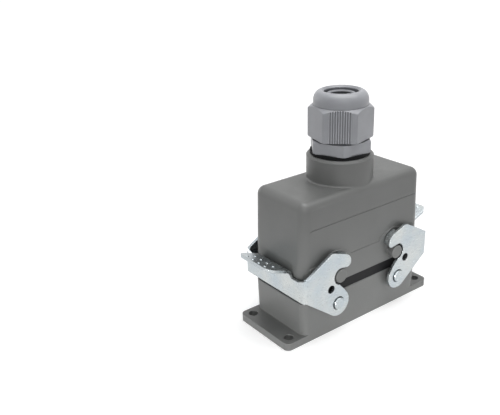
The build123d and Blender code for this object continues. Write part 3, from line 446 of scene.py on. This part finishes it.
def housing_paint(settings):
    """Satin grey powder paint on die-cast aluminium, thin along the edges."""
    sheet = MaterialSheet("housing_paint")
    cloud = sheet.patches(-800, 300, settings.cloud, 0.0, 1.0, detail=2.0)
    tone = sheet.blend(cloud, -400, 300, *shades(settings.grey, 0.955, 1.045))
    edges, rounded = edge_mask(sheet, -800, -100, settings.edge)
    scuffs = sheet.patches(-800, 80, settings.cloud * 0.2, 0.15, 0.75, detail=5.0)
    worn = sheet.figure("MULTIPLY", -200, 60, edges, scuffs)
    sheen = sheet.noise(-800, -480, settings.cloud * 0.4)
    grain = sheet.noise(-800, -760, settings.grain, detail=2.0)
    return sheet.surface(
        Base_Color=sheet.blend(worn, 200, 200, tone, settings.worn_grey),
        Roughness=sheet.spread(sheen, -400, -480, settings.gloss_low, settings.gloss_high),
        Normal=sheet.relief(grain, 300, -500, settings.grain * GRAIN_RELIEF, normal=rounded),
    )


def zinc_plate(settings, name, along):
    """Bright zinc plating on rolled steel; along gives the streaks' stretch on each axis."""
    sheet = MaterialSheet(name)
    patch = sheet.patches(-800, 300, settings.patch, 0.0, 1.0, detail=4.0)
    tone = sheet.blend(patch, -400, 300, settings.cool, settings.warm)
    fleck_noise = sheet.noise(-800, 60, settings.fleck, detail=1.0)
    flecks = sheet.spread(fleck_noise, -600, 60, 0.0, settings.fleck_strength, 0.70, 0.80)
    stretched = sheet.stretched(-1000, -240, along)
    streak = sheet.noise(-800, -240, settings.streak, place=stretched)
    rounded = sheet.rounding(-500, -520, settings.edge, samples=6)
    brushed = sheet.relief(streak, -100, -420, settings.streak * STREAK_RELIEF, normal=rounded)
    ripple = sheet.noise(-800, -760, settings.ripple, detail=2.0)
    return sheet.surface(
        Base_Color=sheet.blend(flecks, 0, 200, tone, settings.fleck_grey),
        Roughness=sheet.spread(streak, -500, -240, settings.gloss_low, settings.gloss_high),
        Normal=sheet.relief(ripple, 200, -420, settings.ripple_depth, 0.5, normal=brushed),
        Metallic=1.0,
    )


def rib_shading(sheet, ribs, grey, plain):
    """Colour of the nut: painted shade on the ground and painted highlight on the crests of its
    ribbed fields, plain elsewhere.
    """
    third = math.pi / 3
    parts = sheet.add("ShaderNodeSeparateXYZ", -1900, 900)
    sheet.feed(sheet.place, parts.inputs[0])
    turn = sheet.figure("ARCTAN2", -1700, 900, parts.outputs["Y"], parts.outputs["X"])
    own_turn = sheet.figure("SUBTRACT", -1500, 900, turn, ribs.turn)
    folded = sheet.figure("WRAP", -1300, 900, own_turn, third, -third)
    radius = sheet.from_axis(-1700, 700)
    cosine = sheet.figure("COSINE", -1100, 1000, folded)
    outward = sheet.figure("MULTIPLY", -900, 1000, radius, cosine)
    sine = sheet.figure("SINE", -1100, 800, folded)
    sideways = sheet.figure("MULTIPLY", -900, 800, radius, sine)
    climb = sheet.figure("SUBTRACT", -700, 1000, outward, ribs.flat)
    near = sheet.figure("COMPARE", -500, 1000, climb, ribs.height / 2, ribs.height * 0.75)
    field = sheet.figure("COMPARE", -500, 800, sideways, 0.0, ribs.field)
    ribbed = sheet.figure("MULTIPLY", -300, 900, near, field)
    # Painted highlight on the ribs' crests and painted shade on the ground between them.
    crest = sheet.spread(climb, -500, 1200, 0.0, 1.0, ribs.height * 0.1, ribs.height * 0.6)
    tone = sheet.blend(crest, -300, 1200, *shades(grey, ribs.ground, ribs.crest))
    return sheet.blend(ribbed, 200, 500, plain, tone)


def gland_plastic(settings, name, ribs=None):
    """Light moulded polyamide with painted shade in its hollows; ribs are the nut's rib settings.
    """
    sheet = MaterialSheet(name)
    grey = Vector(settings.grey)
    flow = sheet.patches(-800, 300, settings.flow, 0.0, 1.0, detail=2.0)
    tone = sheet.blend(flow, -400, 300, *shades(grey, 0.95, 1.05))
    outward = sheet.from_axis(-1100, -560)
    # Painted shade: ambient occlusion darkens the colour in the hollows and at the joints, except
    # within the mouth.
    hollow = sheet.add("ShaderNodeAmbientOcclusion", -600, 560, samples=8)
    hollow.inputs["Distance"].default_value = settings.hollow
    open_share = sheet.spread(hollow.outputs["AO"], -400, 560, 0.0, 1.0, 0.60, 0.90)
    mouth_end = settings.mouth + MOUTH_BLEND
    inside = sheet.spread(outward, -400, 760, 1.0, 0.0, settings.mouth, mouth_end)
    unshaded_share = sheet.figure("MAXIMUM", -200, 600, open_share, inside)
    hollow_shade_tone = settings.hollow_shade_tone if ribs is None else ribs.hollow_shade_tone
    colour = sheet.blend(unshaded_share, -50, 400, grey * hollow_shade_tone, tone)
    if ribs is not None:
        colour = rib_shading(sheet, ribs, grey, colour)
    shine = sheet.noise(-800, 0, settings.shine)
    corner_end = settings.corner_start + CORNER_BLEND
    radius = sheet.spread(
        outward, -700, -560, settings.edge, settings.corner, settings.corner_start, corner_end
    )
    rounded = sheet.rounding(-500, -260, radius, samples=8)
    grain = sheet.noise(-800, -360, settings.grain, detail=2.0)
    return sheet.surface(
        Base_Color=colour,
        Roughness=sheet.spread(shine, -500, 0, settings.gloss_low, settings.gloss_high),
        Normal=sheet.relief(grain, 0, -300, settings.grain * GLAND_RELIEF, normal=rounded),
    )


def gland_seal_rubber(settings):
    """Light ring of the seal round its bore, which is painted near black as painted shade of the
    deep hole.
    """
    sheet = MaterialSheet("gland_seal_rubber")
    flow = sheet.noise(-800, 300, settings.seal_flow)
    flow_share = sheet.spread(flow, -600, 300, 0.0, 1.0)
    tone = sheet.blend(flow_share, -400, 300, *shades(settings.seal, 0.93, 1.05))
    outward = sheet.from_axis(-900, 560)
    # Painted shade: within the bore's radius the seal is painted near black.
    ring = sheet.spread(outward, -500, 560, 0.0, 1.0, settings.bore, settings.bore * 1.03)
    grain = sheet.noise(-800, -360, settings.grain, detail=2.0)
    return sheet.surface(
        Base_Color=sheet.blend(ring, -100, 400, settings.bore_shade, tone),
        Roughness=sheet.spread(flow, -500, 0, 0.52, 0.66),
        Normal=sheet.relief(grain, 0, -300, settings.grain * GRAIN_RELIEF),
        Specular_IOR_Level=0.3,
    )


def gasket_rubber(settings, name, gloss, dust):
    """Black rubber; gloss is its specular level and dust the share of bloom on it."""
    sheet = MaterialSheet(name)
    bloom = sheet.noise(-800, 300, settings.patch, detail=5.0)
    bloom_share = sheet.spread(bloom, -600, 300, 0.0, dust, from_low=0.45, from_high=0.75)
    grain = sheet.noise(-800, -300, settings.grain, detail=2.0)
    return sheet.surface(
        Base_Color=sheet.blend(bloom_share, -400, 300, settings.black, settings.bloom),
        Roughness=sheet.spread(bloom, -500, 0, 0.42, 0.62),
        Normal=sheet.relief(grain, 0, -300, settings.grain * GRAIN_RELIEF),
        Specular_IOR_Level=gloss,
    )


def insert_plastic(settings):
    """Pebble grey glass-filled plastic of the contact carriers."""
    sheet = MaterialSheet("insert_plastic")
    fibre = sheet.noise(-800, 300, settings.fibre, detail=4.0)
    fibre_share = sheet.spread(fibre, -600, 300, 0.0, 1.0)
    grain = sheet.noise(-800, -300, settings.grain, detail=2.0)
    return sheet.surface(
        Base_Color=sheet.blend(fibre_share, -400, 300, *shades(settings.pebble, 0.94, 1.04)),
        Roughness=sheet.spread(fibre, -500, 0, 0.38, 0.52),
        Normal=sheet.relief(grain, 0, -300, settings.grain * GRAIN_RELIEF),
    )


def contact_plating(settings):
    """Silver plating over brass, tarnished in patches."""
    sheet = MaterialSheet("contact_plating")
    patch = sheet.patches(-800, 300, settings.patch, 0.0, 1.0, 4.0, from_low=0.4, from_high=0.7)
    turned = sheet.stretched(-1000, -100, (1.0, 1.0, 12.0))
    groove = sheet.noise(-800, -100, settings.groove, detail=2.0, place=turned)
    return sheet.surface(
        Base_Color=sheet.blend(patch, -400, 300, settings.silver, settings.tarnish),
        Roughness=sheet.spread(groove, -500, -100, 0.18, 0.34),
        Normal=sheet.relief(groove, 0, -300, settings.groove * GROOVE_RELIEF),
        Metallic=1.0,
    )


# Added pieces


def laid_out(tree, name):
    """Plain mesh made by a Geometry Nodes tree, once for one piece."""
    scratch = bpy.data.objects.new(name + "_maker", bpy.data.meshes.new(name + "_maker"))
    bpy.context.scene.collection.objects.link(scratch)
    modifier = scratch.modifiers.new("Layout", "NODES")
    modifier.node_group = tree
    for item in tree.interface.items_tree:
        if item.in_out == "INPUT":
            modifier[item.identifier] = item.default_value
    depsgraph = bpy.context.evaluated_depsgraph_get()
    mesh = bpy.data.meshes.new_from_object(scratch.evaluated_get(depsgraph), depsgraph=depsgraph)
    scratch.modifiers.remove(modifier)
    bpy.data.objects.remove(scratch)
    mesh.name = name
    return mesh


def show_piece(name, mesh, body):
    """Puts a finished mesh, already in its place, on its body."""
    for polygon in mesh.polygons:
        polygon.use_smooth = True
    piece = bpy.data.objects.new(name, mesh)
    bpy.context.scene.collection.objects.link(piece)
    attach(piece, body)
    return piece


def lip_plane(lever):
    """Middle of a lip's outer end, its direction outwards and its normal, from the mesh."""
    side = LEVERS[lever]
    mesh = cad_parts[lever].data
    tops = [
        polygon
        for polygon in mesh.polygons
        if polygon.normal.z > LIP_UPWARD and abs(polygon.center.x) > LIP_START
    ]
    top = max(tops, key=lambda polygon: polygon.area)
    normal = top.normal.copy()
    outwards = Vector((side * normal.z, 0.0, -side * normal.x)).normalized()
    reach = [
        mesh.vertices[index].co.dot(outwards)
        for polygon in mesh.polygons
        if (polygon.normal - normal).length < SAME_NORMAL
        for index in polygon.vertices
    ]
    end = outwards * max(reach) + normal * top.center.dot(normal)
    return end, outwards, normal


def dimple_tree(settings, material):
    """Geometry Nodes tree that lays a grid of low domes on the plane z = 0."""
    inputs = {
        "Rows": settings.rows,
        "Columns": settings.columns,
        "Row pitch": settings.row_pitch,
        "Column pitch": settings.column_pitch,
        "Radius": settings.radius,
        "Height": settings.height,
    }
    sheet = LayoutSheet("lip_dimples", inputs)
    given = sheet.given.outputs
    grid = sheet.add("GeometryNodeMeshGrid", -200, 0)
    sides = (("X", "Rows", "Row pitch"), ("Y", "Columns", "Column pitch"))
    for row, (axis, count, pitch) in enumerate(sides):
        gaps = sheet.figure("SUBTRACT", -650, -200 * row, given[count], 1.0)
        span = sheet.figure("MULTIPLY", -450, -200 * row, gaps, given[pitch])
        sheet.feed(span, grid.inputs["Size " + axis])
        sheet.feed(given[count], grid.inputs["Vertices " + axis])

    ball = sheet.add("GeometryNodeMeshUVSphere", -200, -350)
    ball.inputs["Segments"].default_value = DIMPLE_SEGMENTS
    ball.inputs["Rings"].default_value = DIMPLE_RINGS
    ball.inputs["Radius"].default_value = 1.0
    size = sheet.add("ShaderNodeCombineXYZ", -200, -600)
    for axis, length in (("X", "Radius"), ("Y", "Radius"), ("Z", "Height")):
        sheet.feed(given[length], size.inputs[axis])
    dome = sheet.add("GeometryNodeTransform", 100, -350)
    sheet.feed(ball.outputs["Mesh"], dome.inputs["Geometry"])
    sheet.feed(size.outputs["Vector"], dome.inputs["Scale"])

    scatter = sheet.add("GeometryNodeInstanceOnPoints", 350, 0)
    sheet.feed(grid.outputs["Mesh"], scatter.inputs["Points"])
    sheet.feed(dome.outputs["Geometry"], scatter.inputs["Instance"])
    return sheet.finished(scatter.outputs["Instances"], material)


def thread_tree(settings, height, material):
    """Geometry Nodes tree that sweeps a round ridge up a helix from the plane z = 0."""
    inputs = {
        "Height": height,
        "Pitch": settings.pitch,
        "Helix radius": settings.crest - settings.ridge,
        "Ridge radius": settings.ridge,
    }
    sheet = LayoutSheet("gland_thread", inputs)
    given = sheet.given.outputs
    helix = sheet.add("GeometryNodeCurveSpiral", -200, 150)
    helix.inputs["Resolution"].default_value = TURN_STEPS
    turns = sheet.figure("DIVIDE", -450, 150, given["Height"], given["Pitch"])
    sheet.feed(turns, helix.inputs["Rotations"])
    sheet.feed(given["Helix radius"], helix.inputs["Start Radius"])
    sheet.feed(given["Helix radius"], helix.inputs["End Radius"])
    sheet.feed(given["Height"], helix.inputs["Height"])
    ridge = sheet.add("GeometryNodeCurvePrimitiveCircle", -200, -200)
    ridge.inputs["Resolution"].default_value = RIDGE_SIDES
    sheet.feed(given["Ridge radius"], ridge.inputs["Radius"])
    sweep = sheet.add("GeometryNodeCurveToMesh", 100, 0)
    sweep.inputs["Fill Caps"].default_value = True
    sheet.feed(helix.outputs["Curve"], sweep.inputs["Curve"])
    sheet.feed(ridge.outputs["Curve"], sweep.inputs["Profile Curve"])
    return sheet.finished(sweep.outputs["Mesh"], material)


def cut_neck(core):
    """Copy of the gland body with its neck cut down to the thread's core, and the neck's ends."""
    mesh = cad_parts["gland_body"].data.copy()
    mesh.name = "gland_body_cut"
    builder = bmesh.new()
    builder.from_mesh(mesh)
    bmesh.ops.remove_doubles(builder, verts=builder.verts, dist=SAME_POINT)
    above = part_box("gland_nut")[0][2] + NECK_RISE
    neck = max(vert.co.xy.length for vert in builder.verts if vert.co.z > above)
    ring = [vert for vert in builder.verts if abs(vert.co.xy.length - neck) < SAME_RADIUS]
    for vert in ring:
        vert.co.xy = vert.co.xy.normalized() * core
    for edge in builder.edges:
        edge.smooth = len(edge.link_faces) == 2 and edge.calc_face_angle() < SHARP_ANGLE
    heights = [vert.co.z for vert in ring]
    builder.to_mesh(mesh)
    builder.free()
    return mesh, min(heights), max(heights)


# Studio


def seen_directly(sheet):
    """Value that is 1 for camera, mirror and glass rays, and 0 for light's own."""
    path = sheet.add("ShaderNodeLightPath", -900, 0).outputs
    first = sheet.figure("MAXIMUM", -700, 0, path["Is Camera Ray"], path["Is Glossy Ray"])
    return sheet.figure("MAXIMUM", -500, 0, first, path["Is Transmission Ray"])


def white_room(scene, sky):
    """World that is seen as white and lights the object softly."""
    world = bpy.data.worlds.new("white_room")
    world.use_nodes = True
    sheet = NodeSheet(world.node_tree)
    background = world.node_tree.nodes["Background"]
    background.inputs["Color"].default_value = WHITE
    strength = sheet.spread(seen_directly(sheet), -250, 0, sky, 1.0, from_low=0.0, from_high=1.0)
    sheet.feed(strength, background.inputs["Strength"])
    scene.world = world


def floor_paper(colour):
    """Matt paper that takes the object's shadow and is whitened where it is seen."""
    sheet = MaterialSheet("floor_paper")
    matt = sheet.add("ShaderNodeBsdfDiffuse", 300, 100)
    matt.inputs["Color"].default_value = (*colour, 1.0)
    away = sheet.vector_figure("LENGTH", -900, -250, sheet.place)
    rise = sheet.spread(away, -700, -250, LIFT_NEAR, LIFT_FAR, LIFT_START, LIFT_END)
    glow = sheet.add("ShaderNodeEmission", 300, -100)
    glow.inputs["Color"].default_value = WHITE
    lift = sheet.figure("MULTIPLY", -250, -100, seen_directly(sheet), rise)
    sheet.feed(lift, glow.inputs["Strength"])
    total = sheet.add("ShaderNodeAddShader", 600, 0)
    sheet.feed(matt.outputs[0], total.inputs[0])
    sheet.feed(glow.outputs[0], total.inputs[1])
    sheet.feed(total.outputs[0], sheet.output.inputs["Surface"])
    return sheet.material


def pale_floor(colour):
    """Wide floor under the object."""
    mesh = bpy.data.meshes.new("floor")
    builder = bmesh.new()
    bmesh.ops.create_grid(builder, x_segments=1, y_segments=1, size=FLOOR_REACH)
    builder.to_mesh(mesh)
    builder.free()
    mesh.materials.append(floor_paper(colour))
    floor = bpy.data.objects.new("floor", mesh)
    bpy.context.scene.collection.objects.link(floor)
    return floor


def hang_lamp(lamp):
    """Adds a soft lamp that points at its aim."""
    light = bpy.data.lights.new(lamp.name, "AREA")
    light.shape = "SQUARE"
    light.size = lamp.width
    light.energy = lamp.power
    light.spread = math.radians(lamp.beam)
    holder = bpy.data.objects.new(lamp.name, light)
    holder.location = lamp.place
    holder.rotation_mode = "QUATERNION"
    holder.rotation_quaternion = (Vector(lamp.aim) - Vector(lamp.place)).to_track_quat("-Z", "Y")
    bpy.context.scene.collection.objects.link(holder)


def photo_camera(settings):
    """Camera at the photograph's angle and distance."""
    data = bpy.data.cameras.new("camera")
    data.lens = settings.lens
    data.sensor_width = 36.0
    data.clip_start = 0.01
    data.clip_end = 50.0
    camera = bpy.data.objects.new("camera", data)
    bpy.context.scene.collection.objects.link(camera)
    turn = (
        Matrix.Rotation(settings.azimuth, 4, "Z")
        @ Matrix.Rotation(math.pi / 2 - settings.elevation, 4, "X")
        @ Matrix.Rotation(settings.roll, 4, "Z")
    )
    aim = Vector((0.0, 0.0, settings.aim_height))
    offset = turn @ Vector((settings.slide_right, settings.slide_up, settings.distance))
    camera.matrix_world = Matrix.Translation(aim + offset) @ turn
    return camera


# Operators


class CONNECTOR_OT_studio(bpy.types.Operator):
    """Build the white floor and room, the soft lamps and the camera"""

    bl_idname = "connector.studio"
    bl_label = "Build the Studio"

    def execute(self, context):
        settings = context.scene.connector_studio
        context.scene.view_settings.view_transform = "Standard"
        white_room(context.scene, settings.sky)
        pale_floor(settings.floor)
        for lamp in LAMPS:
            hang_lamp(lamp)
        context.scene.camera = photo_camera(settings)
        return {"FINISHED"}


class CONNECTOR_OT_housing_paint(bpy.types.Operator):
    """Paint the base housing and the hood"""

    bl_idname = "connector.housing_paint"
    bl_label = "Paint the Housing"

    def execute(self, context):
        dress(("base_housing", "hood"), housing_paint(context.scene.connector_paint))
        return {"FINISHED"}


class CONNECTOR_OT_zinc_levers(bpy.types.Operator):
    """Plate the locking levers and their pins with zinc"""

    bl_idname = "connector.zinc_levers"
    bl_label = "Plate the Levers"

    def execute(self, context):
        settings = context.scene.connector_zinc
        dress(LEVERS, zinc_plate(settings, "zinc_sheet", (0.12, 1.0, 1.0)))
        dress(("pivot_pins",), zinc_plate(settings, "zinc_turned", (1.0, 0.2, 1.0)))
        return {"FINISHED"}


class CONNECTOR_OT_lip_dimples(bpy.types.Operator):
    """Raise the rows of grip dimples on the lips of both levers"""

    bl_idname = "connector.lip_dimples"
    bl_label = "Dimple the Lever Lips"

    def execute(self, context):
        material = zinc_plate(context.scene.connector_zinc, "zinc_dimple", (1.0, 1.0, 1.0))
        settings = context.scene.connector_dimples
        tree = dimple_tree(settings, material)
        inset = settings.setback + (settings.rows - 1) * settings.row_pitch / 2
        for lever in LEVERS:
            end, outwards, normal = lip_plane(lever)
            mesh = laid_out(tree, lever + "_dimples")
            turn = Matrix((outwards, normal.cross(outwards), normal)).transposed()
            mesh.transform(Matrix.Translation(end - outwards * inset) @ turn.to_4x4())
            show_piece(lever + "_dimples", mesh, lever)
        return {"FINISHED"}


class CONNECTOR_OT_gland(bpy.types.Operator):
    """Finish the cable gland and its seal, and wind the thread round the gland's neck"""

    bl_idname = "connector.gland"
    bl_label = "Finish the Gland"

    def execute(self, context):
        settings = context.scene.connector_gland
        ribs = context.scene.connector_ribs
        plastic = gland_plastic(settings, "gland_polyamide")
        dress(("gland_body",), plastic)
        dress(("gland_nut",), gland_plastic(settings, "nut_polyamide", ribs))
        dress(("gland_seal",), gland_seal_rubber(settings))
        thread = context.scene.connector_thread
        body, foot, top = cut_neck(thread.core)
        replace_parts(show_piece("gland_body_cut", body, "connector"), "gland_body")
        height = top - foot - 2 * thread.ridge
        ridge = laid_out(thread_tree(thread, height, plastic), "gland_thread")
        ridge.transform(Matrix.Translation((0.0, 0.0, foot + thread.ridge)))
        show_piece("gland_thread", ridge, "connector")
        return {"FINISHED"}


class CONNECTOR_OT_gaskets(bpy.types.Operator):
    """Finish the black rubber gaskets and washer"""

    bl_idname = "connector.gaskets"
    bl_label = "Finish the Gaskets"

    def execute(self, context):
        settings = context.scene.connector_rubber
        dusty = gasket_rubber(settings, "gasket_rubber", gloss=0.12, dust=0.4)
        dress(("rim_gasket", "flange_seal"), dusty)
        unshaded_share = gasket_rubber(settings, "washer_rubber", gloss=0.05, dust=0.0)
        dress(("gland_washer",), unshaded_share)
        return {"FINISHED"}


class CONNECTOR_OT_inserts(bpy.types.Operator):
    """Finish the contact carriers, contacts and screws"""

    bl_idname = "connector.inserts"
    bl_label = "Finish the Inserts"

    def execute(self, context):
        settings = context.scene.connector_inserts
        dress(("female_insert", "male_insert"), insert_plastic(settings))
        dress(("female_contacts", "male_contacts"), contact_plating(settings))
        screws = [
            f"{half}_{part}"
            for half in ("female", "male")
            for part in ("terminal_screws", "fixing_screws", "earth_plates", "earth_screws")
        ]
        dress(screws, zinc_plate(context.scene.connector_zinc, "zinc_screw", (1.0, 1.0, 1.0)))
        return {"FINISHED"}


# Panel and registration

OPERATORS = (
    CONNECTOR_OT_studio,
    CONNECTOR_OT_housing_paint,
    CONNECTOR_OT_zinc_levers,
    CONNECTOR_OT_lip_dimples,
    CONNECTOR_OT_gland,
    CONNECTOR_OT_gaskets,
    CONNECTOR_OT_inserts,
)

SETTINGS = {
    "connector_studio": StudioSettings,
    "connector_paint": HousingPaintSettings,
    "connector_zinc": ZincSettings,
    "connector_dimples": LipDimpleSettings,
    "connector_gland": GlandSettings,
    "connector_ribs": NutRibSettings,
    "connector_thread": GlandThreadSettings,
    "connector_rubber": RubberSettings,
    "connector_inserts": InsertSettings,
}


class CONNECTOR_PT_panel(bpy.types.Panel):
    """Buttons and settings in the 3D view's sidebar"""

    bl_idname = "CONNECTOR_PT_panel"
    bl_label = "Rectangular Connector"
    bl_space_type = "VIEW_3D"
    bl_region_type = "UI"
    bl_category = "Connector"

    def draw(self, context):
        for operator in OPERATORS:
            self.layout.operator(operator.bl_idname)
        for name, group in SETTINGS.items():
            box = self.layout.box()
            for key in group.__annotations__:
                box.prop(getattr(context.scene, name), key)


def register():
    for group in SETTINGS.values():
        bpy.utils.register_class(group)
    for name, group in SETTINGS.items():
        setattr(bpy.types.Scene, name, PointerProperty(type=group))
    for operator in OPERATORS:
        bpy.utils.register_class(operator)
    bpy.utils.register_class(CONNECTOR_PT_panel)


def unregister():
    bpy.utils.unregister_class(CONNECTOR_PT_panel)
    for operator in reversed(OPERATORS):
        bpy.utils.unregister_class(operator)
    for name in SETTINGS:
        delattr(bpy.types.Scene, name)
    for group in reversed(list(SETTINGS.values())):
        bpy.utils.unregister_class(group)


def main():
    register()
    bpy.ops.connector.studio()
    bpy.ops.connector.housing_paint()
    bpy.ops.connector.zinc_levers()
    bpy.ops.connector.lip_dimples()
    bpy.ops.connector.gland()
    bpy.ops.connector.gaskets()
    bpy.ops.connector.inserts()


if __name__ == "__main__":
    main()
